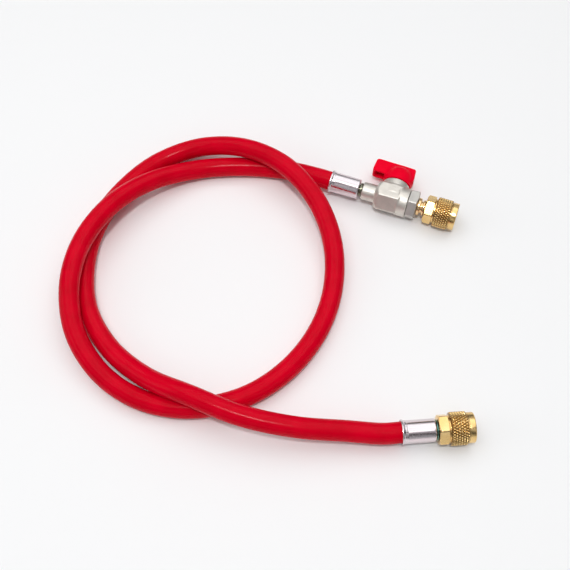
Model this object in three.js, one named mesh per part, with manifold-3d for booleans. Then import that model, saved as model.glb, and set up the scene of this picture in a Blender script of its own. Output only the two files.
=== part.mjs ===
// Refrigerant charging hose: a red rubber hose that lies in one and a half loose turns, with a
// crimped ferrule and a knurled brass swivel nut on one end, and a crimped ferrule, a small ball
// valve with a red lever and a second brass swivel nut on the other.
// Millimetres, +Z up, floor at z = 0. The origin is the middle of the two end fittings' footprint.
// Each fitting is made along its own +X, from the ferrule's mouth at x = 0 to the nut's front face,
// with +Y as the direction of the valve's stem and +Z up.
import * as THREE from "three";
import { mergeVertices } from "three/addons/utils/BufferGeometryUtils.js";
import Module from "manifold-3d";

const wasm = await Module();
wasm.setup();

// Clearances
const seatGap = 0.3; // between pieces that seat on each other
const slipGap = 0.3; // between pieces that turn on each other

// Facets
const roundSides = 28; // sides of turned pieces
const smallSides = 20; // sides of slim turned pieces
const hoseSides = 12;
const hoseSteps = 80;
const cornerSteps = 4; // segments of a rounded corner

// Hose
const hoseDiameter = 11;
const hoseInsertion = 1; // length of hose inside a ferrule's flared mouth
const hoseStraight = 9; // straight lead in front of a ferrule
const hoseLow = hoseDiameter / 2 + 0.25; // height of the centreline where the hose lies on the floor

// Crimped ferrules
const ferruleDiameter = 12;
const crimpAcrossFlats = 11.6;
const crimpFlats = 8;
const lipDiameter = 13;
const lipLength = 0.7;
const lipTaper = 0.8;
const ferruleRound = 1.2; // rounded shoulder at the fitting end
const ferruleLength = 17.3;

// Hose tails: the barbed tube inside the hose, its collar and its spigot
const tailDiameter = 5.2;
const tailBore = 3.2;
const endCollarDiameter = 10.6;
const endCollarLength = 0.5;
const neckDiameter = 6.6; // neck on which a coupling nut turns
const headDiameter = 9.4; // head that keeps a coupling nut on its neck
const headLength = 2.2;
const valveTailNeckDiameter = 7.8;
const valveTailNeckLength = 1.3;
const spigotDiameter = 6.4;
const spigotLength = 5.6;

// Coupling nuts
const nutLength = 18.3;
const nutAcrossFlats = 14.2;
const nutHexLength = 5.1;
const nutChamfer = 0.8;
const nutNeckDiameter = 13.8;
const nutNeckLength = 0.8;
const knurlDiameter = 16.9;
const knurlLength = 8.8;
const knurlChamfer = 0.4;
const rimDiameter = 15.6;
const rimChamfer = 0.5;
const nutBackWall = 4;
const socketDiameter = 10.1;
const socketMouthDiameter = 11.3;
const endNutCorner = 115; // degrees from +Y to the first hexagon corner
const valveNutCorner = 30;

// Coupling seals
const sealLength = 1.6;
const sealBore = 4.6;

// Valve body
const inletDiameter = 10.3;
const inletLength = 8;
const bodyAcrossFlats = 16;
const bodyHexLength = 14.1;
const bodyChamfer = 2.3;
const barrelDiameter = 16.7;
const barrelLength = 5;
const bossDiameter = 16;
const bossHeight = 9.1; // from the valve's axis to the boss's top
const stemFromInlet = 9.5; // from the hexagon's hose side to the stem's axis
const flowBore = 4.4;

// Valve ball and stem
const ballDiameter = 10;
const tangWidth = 1.8;
const tangDepth = 1.4;
const tangLength = 4;
const stemDiameter = 5.2;
const stemFlats = 4; // across the two flats that drive the lever
const stemTop = 18.2;

// End cap
const capAcrossFlats = 15.2;
const capLength = 5.1;
const capChamfer = 0.5;
const capCorner = 55;

// Adaptor between end cap and coupling nut
const adaptorFlangeDiameter = 10;
const adaptorFlangeLength = 1.7;
const adaptorGrooveDiameter = 7;
const adaptorGrooveLength = 1.3;
const adaptorCollarDiameter = 9;
const adaptorCollarLength = 1.1;
const adaptorShankDiameter = 6.4;
const adaptorShankLength = 4;
const adaptorBore = 3.2;

// Lever
const hubDiameter = 16.6;
const hubStraight = 3; // straight wall of the hub above its rim
const hubDomeHeight = 7.6;
const leverTop = 21.8; // from the valve's axis, at the hub
const leverUnderside = 12.9; // from the valve's axis, at the hub
const leverRise = 0.7; // how much higher the tip lies than the hub
const leverThickness = 7;
const leverReach = 16; // from the stem's axis to the tip
const leverNose = 8.5; // from the stem's axis to the other end
const leverTipDraft = 0.7;
const leverNoseDraft = 0.2;
const leverCorner = 1.7;
const leverWall = 1.4;
const channelDepth = 5.6;
const screwWellDiameter = 5.8; // bore in the lever's top around the screw's head
const screwHeadDiameter = 5.2;
const screwHeadLength = 2;
const screwDiameter = 2.6;
const screwLength = 5;

// Where the fittings lie: the ferrule's mouth on the floor plan, and the heading of the axis.
// Plan positions are measured from the middle of the hose's loop.
const valvePlace = { x: 26.7, y: 63.8, heading: -19.4 };
const endPlace = { x: 58.1, y: -88.2, heading: 4.2 };
const footprintCentre = { x: 62.1, y: -8.7 };

// The hose's route from the valve's ferrule to the end ferrule, as chosen points of its centreline
const hosePoints = [
  [0.6, 73.2, 6.1],
  [-27, 75.9, 5.85],
  [-54.1, 72.6, 6.8],
  [-78.4, 60, 13],
  [-97.7, 41.4, 17.2],
  [-111.2, 18, 17.2],
  [-115.2, -8.9, 17],
  [-110.4, -34.8, 11.6],
  [-95.3, -56.2, 6.8],
  [-73.2, -70.1, hoseLow],
  [-47.2, -74.3, hoseLow],
  [-20.6, -68.1, hoseLow],
  [1, -53.3, hoseLow],
  [17.4, -31.4, hoseLow],
  [26.2, -5.5, 6.4],
  [26.5, 21.6, 9.9],
  [17.6, 47, 14.5],
  [0.2, 68.4, 17.2],
  [-23.5, 82.4, 15.4],
  [-50, 87, 9.7],
  [-75, 78.4, 6.2],
  [-93.7, 59.7, hoseLow],
  [-106.4, 36.4, hoseLow],
  [-110.8, 9.7, hoseLow],
  [-106.7, -17.7, hoseLow],
  [-92.6, -41.1, 6.6],
  [-71.8, -59.2, 10.6],
  [-47.8, -71.8, 17],
  [-22.2, -81.8, 15.6],
  [4.6, -87, 13.4],
  [31.9, -88.1, 10.1],
];

// Positions along a fitting that follow from the lengths above
const endNutPlace = ferruleLength + seatGap + endCollarLength + slipGap;
const bodyPlace = ferruleLength + 2 * seatGap + valveTailNeckLength;
const hexPlace = bodyPlace + inletLength;
const stemPlace = hexPlace + stemFromInlet;
const barrelPlace = hexPlace + bodyHexLength;
const capPlace = barrelPlace + barrelLength + seatGap;
const adaptorPlace = capPlace + capLength + seatGap;
const adaptorLength = adaptorFlangeLength + adaptorGrooveLength + adaptorCollarLength;
const valveNutPlace = adaptorPlace + adaptorLength + slipGap;

const degrees = THREE.MathUtils.degToRad;

// Height of a fitting's axis above the floor: the widest turned or cornered piece lies on the floor
const reachBelow = (acrossFlats, corner) => {
  const fromDown = ((((270 - corner) % 60) + 90) % 60) - 30;
  return (acrossFlats / 2 / Math.cos(degrees(30))) * Math.cos(degrees(fromDown));
};
const endAxisHeight = Math.max(knurlDiameter / 2, reachBelow(nutAcrossFlats, endNutCorner));
const valveAxisHeight = Math.max(
  knurlDiameter / 2,
  barrelDiameter / 2,
  bodyAcrossFlats / 2,
  reachBelow(nutAcrossFlats, valveNutCorner),
  reachBelow(capAcrossFlats, capCorner),
);

// Materials
const finish = (color, roughness, metalness) =>
  new THREE.MeshStandardMaterial({ color, roughness, metalness });
const redRubber = finish(0xc4002a, 0.42, 0);
const redPlastic = finish(0xe8002c, 0.35, 0);
const plating = finish(0xd9ced2, 0.22, 1);
const tintedPlating = finish(0x8fa394, 0.3, 1);
const satinNickel = finish(0xc6c1b8, 0.38, 1);
const brass = finish(0xd9a95a, 0.28, 1);
const darkSteel = finish(0x8d8f91, 0.35, 1);
const blackRubber = finish(0x222222, 0.7, 0);

// Shape helpers

// A closed body from a geometry: shared vertices merged, and triangles of no area left out
function toSolid(geometry) {
  const bare = geometry.clone();
  bare.deleteAttribute("normal");
  bare.deleteAttribute("uv");
  const merged = mergeVertices(bare, 1e-4);
  const index = merged.index.array;
  const triangles = [];
  for (let i = 0; i < index.length; i += 3) {
    const [a, b, c] = [index[i], index[i + 1], index[i + 2]];
    if (a !== b && b !== c && c !== a) triangles.push(a, b, c);
  }
  const mesh = new wasm.Mesh({
    numProp: 3,
    vertProperties: new Float32Array(merged.attributes.position.array),
    triVerts: new Uint32Array(triangles),
  });
  return new wasm.Manifold(mesh);
}

function toGeometry(solid) {
  const mesh = solid.getMesh();
  const geometry = new THREE.BufferGeometry();
  geometry.setAttribute("position", new THREE.BufferAttribute(mesh.vertProperties, 3));
  geometry.setIndex(new THREE.BufferAttribute(mesh.triVerts, 1));
  geometry.computeVertexNormals();
  return geometry;
}

function namedMesh(name, solid, material) {
  const mesh = new THREE.Mesh(toGeometry(solid), material);
  mesh.name = name;
  return mesh;
}

// A body turned about +X. The profile is a list of [x, radius], from the axis or from a bore, out
// along the outside towards greater x, and back. A profile off the axis is closed on itself.
function turned(profile, sides = roundSides) {
  const points = profile.map(([x, radius]) => new THREE.Vector2(radius, x));
  const onAxis = points[0].x === 0 && points[points.length - 1].x === 0;
  if (!onAxis) points.push(points[0].clone());
  const geometry = new THREE.LatheGeometry(points, sides);
  geometry.rotateZ(-Math.PI / 2);
  return toSolid(geometry);
}

// A plain turned rod between two places on the axis
function rod(from, to, diameter, sides = roundSides) {
  const radius = diameter / 2;
  return turned([[from, 0], [from, radius], [to, radius], [to, 0]], sides);
}

// A prism along +X with a regular outline, its first corner at an angle from +Y towards +Z
function prism(from, to, sides, acrossFlats, corner = 0) {
  const radius = acrossFlats / 2 / Math.cos(Math.PI / sides);
  const shape = new THREE.Shape();
  for (let i = 0; i < sides; i += 1) {
    const angle = degrees(corner) + (2 * Math.PI * i) / sides;
    const [x, y] = [-radius * Math.sin(angle), radius * Math.cos(angle)];
    if (i === 0) shape.moveTo(x, y);
    else shape.lineTo(x, y);
  }
  shape.closePath();
  const geometry = new THREE.ExtrudeGeometry(shape, { depth: to - from, bevelEnabled: false });
  geometry.rotateY(Math.PI / 2);
  geometry.translate(from, 0, 0);
  return toSolid(geometry);
}

// A box between two corners
function block([x0, y0, z0], [x1, y1, z1]) {
  const geometry = new THREE.BoxGeometry(x1 - x0, y1 - y0, z1 - z0);
  geometry.translate((x0 + x1) / 2, (y0 + y1) / 2, (z0 + z1) / 2);
  return toSolid(geometry);
}

// A body turned about +X, stood up along +Y with its axis at a place on the fitting
function stoodUp(solid, place) {
  return solid.rotate([0, 0, 90]).translate([place, 0, 0]);
}

// Hose

const headingVector = (place) =>
  new THREE.Vector3(Math.cos(degrees(place.heading)), Math.sin(degrees(place.heading)), 0);

// The points of the hose next to a fitting: its end inside the ferrule and its straight lead
function hoseEnd(place, height) {
  const mouth = new THREE.Vector3(place.x, place.y, height);
  const along = headingVector(place);
  return [
    mouth.clone().addScaledVector(along, hoseInsertion),
    mouth.clone().addScaledVector(along, -hoseStraight),
  ];
}

function makeHose() {
  const route = [
    ...hoseEnd(valvePlace, valveAxisHeight),
    ...hosePoints.map(([x, y, z]) => new THREE.Vector3(x, y, z)),
    ...hoseEnd(endPlace, endAxisHeight).reverse(),
  ];
  const centreline = new THREE.CatmullRomCurve3(route, false, "centripetal");
  const section = new THREE.Shape();
  for (let i = 0; i < hoseSides; i += 1) {
    const angle = (2 * Math.PI * i) / hoseSides;
    const [x, y] = [(hoseDiameter / 2) * Math.cos(angle), (hoseDiameter / 2) * Math.sin(angle)];
    if (i === 0) section.moveTo(x, y);
    else section.lineTo(x, y);
  }
  section.closePath();
  const geometry = new THREE.ExtrudeGeometry(section, {
    steps: hoseSteps,
    extrudePath: centreline,
    bevelEnabled: false,
  });
  return namedMesh("hose", toSolid(geometry), redRubber);
}

// Ferrule: a sleeve crimped onto the hose's end, with a flared lip at its mouth
function makeFerrule(name) {
  const bore = tailDiameter / 2 + seatGap;
  const mouth = hoseDiameter / 2 + seatGap;
  const radius = ferruleDiameter / 2;
  const sleeve = turned([
    [hoseInsertion + seatGap, bore],
    [hoseInsertion + seatGap, mouth],
    [0, mouth],
    [0, lipDiameter / 2],
    [lipLength, lipDiameter / 2],
    [lipLength + lipTaper, radius],
    [ferruleLength - ferruleRound, radius],
    [ferruleLength - ferruleRound * 0.3, radius - ferruleRound * 0.3],
    [ferruleLength, radius - ferruleRound],
    [ferruleLength, bore],
  ]);
  const crimp = prism(lipLength + lipTaper, ferruleLength, crimpFlats, crimpAcrossFlats, 180 / crimpFlats);
  const lip = rod(-seatGap, lipLength + lipTaper, lipDiameter + 1);
  return namedMesh(name, sleeve.intersect(crimp.add(lip)), plating);
}

// Coupling nut: hexagon, knurled grip and plain rim, with a threaded socket open to the front
function makeCouplingNut(name, place, corner) {
  const hex = prism(place, place + nutHexLength, 6, nutAcrossFlats, corner);
  const hexRadius = nutAcrossFlats / 2 / Math.cos(degrees(30));
  const chamferCone = turned([
    [place, 0],
    [place, hexRadius - nutChamfer],
    [place + nutChamfer, hexRadius],
    [place + nutHexLength - nutChamfer / 2, hexRadius],
    [place + nutHexLength, hexRadius - nutChamfer / 2],
    [place + nutHexLength, 0],
  ]);
  const neckEnd = place + nutHexLength + nutNeckLength;
  const knurlEnd = neckEnd + knurlLength;
  const front = place + nutLength;
  const grip = turned([
    [place + nutBackWall, 0],
    [place + nutBackWall, nutNeckDiameter / 2],
    [neckEnd, nutNeckDiameter / 2],
    [neckEnd, rimDiameter / 2],
    [neckEnd + knurlChamfer, knurlDiameter / 2],
    [knurlEnd - knurlChamfer, knurlDiameter / 2],
    [knurlEnd, rimDiameter / 2],
    [front - rimChamfer, rimDiameter / 2],
    [front, rimDiameter / 2 - rimChamfer],
    [front, 0],
  ]);
  const mouthDepth = (socketMouthDiameter - socketDiameter) / 2;
  const hollow = turned([
    [place - 1, 0],
    [place - 1, neckDiameter / 2 + slipGap],
    [place + nutBackWall, neckDiameter / 2 + slipGap],
    [place + nutBackWall, socketDiameter / 2],
    [front - mouthDepth, socketDiameter / 2],
    [front, socketMouthDiameter / 2],
    [front + 1, socketMouthDiameter / 2],
    [front + 1, 0],
  ]);
  return namedMesh(name, hex.intersect(chamferCone).add(grip).subtract(hollow), brass);
}

// The profile of the neck and head on which a coupling nut turns, from the neck's start
function swivelHead(neckStart, nutPlace, bore) {
  const headStart = nutPlace + nutBackWall + slipGap;
  return [
    [neckStart, neckDiameter / 2],
    [headStart, neckDiameter / 2],
    [headStart, headDiameter / 2],
    [headStart + headLength, headDiameter / 2],
    [headStart + headLength, bore / 2],
  ];
}

// Rubber seal that lies in the nut's socket against the head
function makeSeal(name, nutPlace) {
  const start = nutPlace + nutBackWall + slipGap + headLength + seatGap;
  const profile = [
    [start, sealBore / 2],
    [start, headDiameter / 2],
    [start + sealLength, headDiameter / 2],
    [start + sealLength, sealBore / 2],
  ];
  return namedMesh(name, turned(profile, smallSides), blackRubber);
}

// Hose end fitting: ferrule, tail with its collar and swivel head, seal and coupling nut
function makeEndFitting() {
  const fitting = new THREE.Group();
  const collarStart = ferruleLength + seatGap;
  const collarEnd = collarStart + endCollarLength;
  const tail = turned(
    [
      [hoseInsertion + seatGap, tailBore / 2],
      [hoseInsertion + seatGap, tailDiameter / 2],
      [collarStart, tailDiameter / 2],
      [collarStart, endCollarDiameter / 2],
      [collarEnd, endCollarDiameter / 2],
      ...swivelHead(collarEnd, endNutPlace, tailBore),
    ],
    smallSides,
  );
  fitting.add(makeFerrule("end_ferrule"));
  fitting.add(namedMesh("end_hose_tail", tail, tintedPlating));
  fitting.add(makeSeal("end_coupling_seal", endNutPlace));
  fitting.add(makeCouplingNut("end_coupling_nut", endNutPlace, endNutCorner));
  return fitting;
}

// Tail between the valve's ferrule and its body, with a spigot screwed into the body's inlet
function makeValveTail() {
  const neckStart = ferruleLength + seatGap;
  const neckEnd = neckStart + valveTailNeckLength;
  const tail = turned(
    [
      [hoseInsertion + seatGap, tailBore / 2],
      [hoseInsertion + seatGap, tailDiameter / 2],
      [neckStart, tailDiameter / 2],
      [neckStart, valveTailNeckDiameter / 2],
      [neckEnd, valveTailNeckDiameter / 2],
      [neckEnd, spigotDiameter / 2],
      [neckEnd + spigotLength, spigotDiameter / 2],
      [neckEnd + spigotLength, tailBore / 2],
    ],
    smallSides,
  );
  return namedMesh("valve_hose_tail", tail, tintedPlating);
}

// Valve body: inlet collar, hexagon with one corner under the stem's boss, and round barrel.
// The ball's chamber is bored from the barrel's open end.
const chamberDiameter = ballDiameter + 2 * slipGap;
const chamberStart = stemPlace - ballDiameter / 2 - slipGap;

function makeValveBody() {
  const hexRadius = bodyAcrossFlats / 2 / Math.cos(degrees(30));
  const hex = prism(hexPlace, barrelPlace, 6, bodyAcrossFlats, 0);
  const chamferCone = turned([
    [hexPlace, 0],
    [hexPlace, hexRadius - bodyChamfer],
    [hexPlace + bodyChamfer, hexRadius],
    [barrelPlace, hexRadius],
    [barrelPlace, 0],
  ]);
  const collar = rod(bodyPlace, hexPlace + bodyChamfer, inletDiameter);
  const barrel = rod(barrelPlace - 1, barrelPlace + barrelLength, barrelDiameter);
  const boss = stoodUp(rod(0, bossHeight, bossDiameter), stemPlace);
  const inletEnd = bodyPlace + spigotLength;
  const flow = turned(
    [
      [bodyPlace - 1, 0],
      [bodyPlace - 1, spigotDiameter / 2 + seatGap],
      [inletEnd, spigotDiameter / 2 + seatGap],
      [inletEnd, flowBore / 2],
      [chamberStart, flowBore / 2],
      [chamberStart, chamberDiameter / 2],
      [barrelPlace + barrelLength + 1, chamberDiameter / 2],
      [barrelPlace + barrelLength + 1, 0],
    ],
    smallSides,
  );
  const stemBore = stoodUp(rod(0, bossHeight + 1, stemDiameter + 2 * slipGap, smallSides), stemPlace);
  const body = hex.intersect(chamferCone).add(collar).add(barrel).add(boss);
  return namedMesh("valve_body", body.subtract(flow).subtract(stemBore), satinNickel);
}

// Ball with its flow bore and the slot that the stem's tang turns
function makeValveBall() {
  const radius = ballDiameter / 2;
  const geometry = new THREE.SphereGeometry(radius, smallSides, smallSides / 2);
  geometry.translate(stemPlace, 0, 0);
  const bore = rod(stemPlace - radius - 1, stemPlace + radius + 1, flowBore, smallSides);
  const half = tangWidth / 2 + slipGap;
  const slotFloor = radius - tangDepth - slipGap;
  const slot = block([stemPlace - radius, slotFloor, -half], [stemPlace + radius, radius + 1, half]);
  return namedMesh("valve_ball", toSolid(geometry).subtract(bore).subtract(slot), satinNickel);
}

// Stem: tang in the ball's slot, round shank in the boss and two flats inside the lever's hub
function makeValveStem() {
  const shankStart = ballDiameter / 2 + slipGap;
  const shank = stoodUp(rod(shankStart, stemTop, stemDiameter, smallSides), stemPlace);
  const tang = block(
    [stemPlace - tangLength / 2, ballDiameter / 2 - tangDepth, -tangWidth / 2],
    [stemPlace + tangLength / 2, shankStart + 1, tangWidth / 2],
  );
  const flatsStart = bossHeight + seatGap;
  const flatsZone = block(
    [stemPlace - stemFlats / 2, flatsStart, -stemDiameter],
    [stemPlace + stemFlats / 2, stemTop + 1, stemDiameter],
  );
  const below = block(
    [stemPlace - stemDiameter, 0, -stemDiameter],
    [stemPlace + stemDiameter, flatsStart, stemDiameter],
  );
  const hole = stoodUp(
    rod(stemTop - screwLength, stemTop + 1, screwDiameter + 2 * seatGap, smallSides),
    stemPlace,
  );
  const stem = shank.add(tang).intersect(flatsZone.add(below)).subtract(hole);
  return namedMesh("valve_stem", stem, darkSteel);
}

// End cap: a thin hexagon against the barrel, with a spigot that holds the ball in its chamber
function makeEndCap() {
  const hexRadius = capAcrossFlats / 2 / Math.cos(degrees(30));
  const hex = prism(capPlace, capPlace + capLength, 6, capAcrossFlats, capCorner);
  const chamferCone = turned([
    [capPlace, 0],
    [capPlace, hexRadius],
    [capPlace + capLength - capChamfer, hexRadius],
    [capPlace + capLength, hexRadius - capChamfer],
    [capPlace + capLength, 0],
  ]);
  const spigotStart = stemPlace + ballDiameter / 2 + slipGap;
  const spigot = rod(spigotStart, capPlace + 1, chamberDiameter - 2 * seatGap, smallSides);
  const flow = turned(
    [
      [spigotStart - 1, 0],
      [spigotStart - 1, flowBore / 2],
      [adaptorPlace - seatGap - adaptorShankLength, flowBore / 2],
      [adaptorPlace - seatGap - adaptorShankLength, adaptorShankDiameter / 2 + seatGap],
      [adaptorPlace + 1, adaptorShankDiameter / 2 + seatGap],
      [adaptorPlace + 1, 0],
    ],
    smallSides,
  );
  const cap = hex.intersect(chamferCone).add(spigot).subtract(flow);
  return namedMesh("valve_end_cap", cap, satinNickel);
}

// Adaptor: shank in the end cap, flange, groove, collar, and the neck and head for the nut
function makeAdaptor() {
  const grooveStart = adaptorPlace + adaptorFlangeLength;
  const collarStart = grooveStart + adaptorGrooveLength;
  const collarEnd = collarStart + adaptorCollarLength;
  const profile = [
    [adaptorPlace - adaptorShankLength, adaptorBore / 2],
    [adaptorPlace - adaptorShankLength, adaptorShankDiameter / 2],
    [adaptorPlace, adaptorShankDiameter / 2],
    [adaptorPlace, adaptorFlangeDiameter / 2],
    [grooveStart, adaptorFlangeDiameter / 2],
    [grooveStart, adaptorGrooveDiameter / 2],
    [collarStart, adaptorGrooveDiameter / 2],
    [collarStart, adaptorCollarDiameter / 2],
    [collarEnd, adaptorCollarDiameter / 2],
    ...swivelHead(collarEnd, valveNutPlace, adaptorBore),
  ];
  return namedMesh("valve_adaptor", turned(profile, smallSides), brass);
}

// Side outline of the lever with rounded corners, as x along the valve and y along the stem
function leverOutline() {
  const corners = [
    [-leverReach, leverUnderside + leverRise],
    [leverNose, leverUnderside],
    [leverNose - leverNoseDraft, leverTop],
    [-leverReach + leverTipDraft, leverTop + leverRise],
  ].map(([x, y]) => new THREE.Vector2(x, y));
  const shape = new THREE.Shape();
  corners.forEach((corner, i) => {
    const before = corners[(i + corners.length - 1) % corners.length];
    const after = corners[(i + 1) % corners.length];
    const enter = corner.clone().add(before.clone().sub(corner).setLength(leverCorner));
    const leave = corner.clone().add(after.clone().sub(corner).setLength(leverCorner));
    if (i === 0) shape.moveTo(enter.x, enter.y);
    else shape.lineTo(enter.x, enter.y);
    shape.quadraticCurveTo(corner.x, corner.y, leave.x, leave.y);
  });
  shape.closePath();
  return shape;
}

// Lever: a round hub over the boss and a hollow slab that points towards the hose
function makeHandle() {
  const rim = bossHeight + slipGap;
  const hubRadius = hubDiameter / 2;
  const domeStart = rim + hubStraight;
  const domeEnd = domeStart + hubDomeHeight;
  const hubProfile = [[rim, 0], [rim, hubRadius]];
  for (let i = 0; i <= cornerSteps; i += 1) {
    const angle = (Math.PI / 2) * (i / cornerSteps);
    const radius = leverThickness / 2 + (hubRadius - leverThickness / 2) * Math.cos(angle);
    hubProfile.push([domeStart + hubDomeHeight * Math.sin(angle), radius]);
  }
  hubProfile.push([domeEnd, 0]);
  const hub = stoodUp(turned(hubProfile), 0);
  const slab = new THREE.ExtrudeGeometry(leverOutline(), {
    depth: leverThickness,
    bevelEnabled: false,
    curveSegments: cornerSteps,
  });
  slab.translate(0, 0, -leverThickness / 2);
  const channelHalf = leverThickness / 2 - leverWall;
  const channel = block(
    [-leverReach + leverWall + leverTipDraft, leverUnderside - 1, -channelHalf],
    [-hubRadius - leverWall / 2, leverUnderside + channelDepth, channelHalf],
  );
  const slotHalf = stemFlats / 2 + seatGap;
  const stemRadius = stemDiameter / 2 + seatGap;
  const stemHole = stoodUp(rod(rim - 1, leverTop, 2 * stemRadius, smallSides), 0).intersect(
    block([-slotHalf, rim - 1, -stemRadius], [slotHalf, leverTop, stemRadius]),
  );
  const screwWell = stoodUp(
    rod(stemTop + seatGap, leverTop + 1, screwWellDiameter, smallSides),
    0,
  );
  const handle = hub.add(toSolid(slab)).subtract(channel).subtract(stemHole).subtract(screwWell);
  return namedMesh("valve_handle", handle.translate([stemPlace, 0, 0]), redPlastic);
}

// Screw that holds the lever on the stem
function makeHandleScrew() {
  const headStart = stemTop + 2 * seatGap;
  const head = rod(headStart, headStart + screwHeadLength, screwHeadDiameter, smallSides);
  const shankStart = headStart + seatGap - screwLength;
  const shank = rod(shankStart, headStart + screwHeadLength / 2, screwDiameter, smallSides);
  return namedMesh("handle_screw", stoodUp(head.add(shank), stemPlace), darkSteel);
}

// Valve end fitting: ferrule, tail, ball valve, adaptor, seal and coupling nut
function makeValveFitting() {
  const fitting = new THREE.Group();
  fitting.add(makeFerrule("valve_ferrule"));
  fitting.add(makeValveTail());
  fitting.add(makeValveBody());
  fitting.add(makeValveBall());
  fitting.add(makeValveStem());
  fitting.add(makeEndCap());
  fitting.add(makeAdaptor());
  fitting.add(makeHandle());
  fitting.add(makeHandleScrew());
  fitting.add(makeSeal("valve_coupling_seal", valveNutPlace));
  fitting.add(makeCouplingNut("valve_coupling_nut", valveNutPlace, valveNutCorner));
  return fitting;
}

function layFitting(fitting, place, height) {
  fitting.position.set(place.x, place.y, height);
  fitting.rotation.z = degrees(place.heading);
  return fitting;
}

// Assembly
const layout = new THREE.Group();
layout.position.set(-footprintCentre.x, -footprintCentre.y, 0);
layout.add(makeHose());
layout.add(layFitting(makeEndFitting(), endPlace, endAxisHeight));
layout.add(layFitting(makeValveFitting(), valvePlace, valveAxisHeight));

const chargingHose = new THREE.Group();
chargingHose.add(layout);

export default chargingHose;
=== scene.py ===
"""Dresses a refrigerant charging hose: its red hose, crimped ferrules, ball valve and brass nuts.

Sizes are in millimetres, as a maker would give them. Meshes and places go to Blender in metres. Each
end fitting is made along its own +X, from the ferrule's mouth at x = 0 to the nut's front face, with
+Y as the direction of the valve's stem and +Z up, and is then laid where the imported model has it.
"""

import logging
import math
from collections.abc import Callable, Sequence
from dataclasses import dataclass
from enum import Enum

import bpy
import numpy as np
from mathutils import Matrix, Vector


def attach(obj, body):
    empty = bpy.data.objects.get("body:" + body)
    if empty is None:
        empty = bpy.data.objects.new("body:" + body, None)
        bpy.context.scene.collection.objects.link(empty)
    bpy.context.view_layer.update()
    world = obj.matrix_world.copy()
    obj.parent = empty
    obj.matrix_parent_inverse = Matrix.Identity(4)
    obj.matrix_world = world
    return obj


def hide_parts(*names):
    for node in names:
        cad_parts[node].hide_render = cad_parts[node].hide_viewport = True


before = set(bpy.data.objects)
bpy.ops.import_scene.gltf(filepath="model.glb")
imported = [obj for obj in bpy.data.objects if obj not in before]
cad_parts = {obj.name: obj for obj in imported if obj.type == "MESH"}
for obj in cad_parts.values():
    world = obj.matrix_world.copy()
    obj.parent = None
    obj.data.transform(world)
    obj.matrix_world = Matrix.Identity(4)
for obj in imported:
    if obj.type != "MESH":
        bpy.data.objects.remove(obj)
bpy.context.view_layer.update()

log = logging.getLogger("charging_hose")

MM = 0.001
# Mesh attribute that says how much painted shade darkens each point of a knurl's valleys
VALLEY_SHADE_ATTRIBUTE = "valley"

Colour = tuple[float, float, float]
Outline = Callable[[np.ndarray], np.ndarray]


class Body(Enum):
    """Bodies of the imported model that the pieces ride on."""

    MAIN = "hose_and_valve"
    LEVER = "lever"
    END_NUT = "end_nut"
    VALVE_NUT = "valve_nut"


class Slot(Enum):
    """Material slots of the record."""

    HOSE_RUBBER = "hose_rubber"
    FERRULE_PLATING = "ferrule_plating"
    TAIL_PLATING = "tail_plating"
    VALVE_NICKEL = "valve_nickel"
    STEM_STEEL = "stem_steel"
    NUT_BRASS = "nut_brass"
    ADAPTOR_BRASS = "adaptor_brass"
    LEVER_PLASTIC = "lever_plastic"
    SEAL_RUBBER = "seal_rubber"


# Finishes


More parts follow.
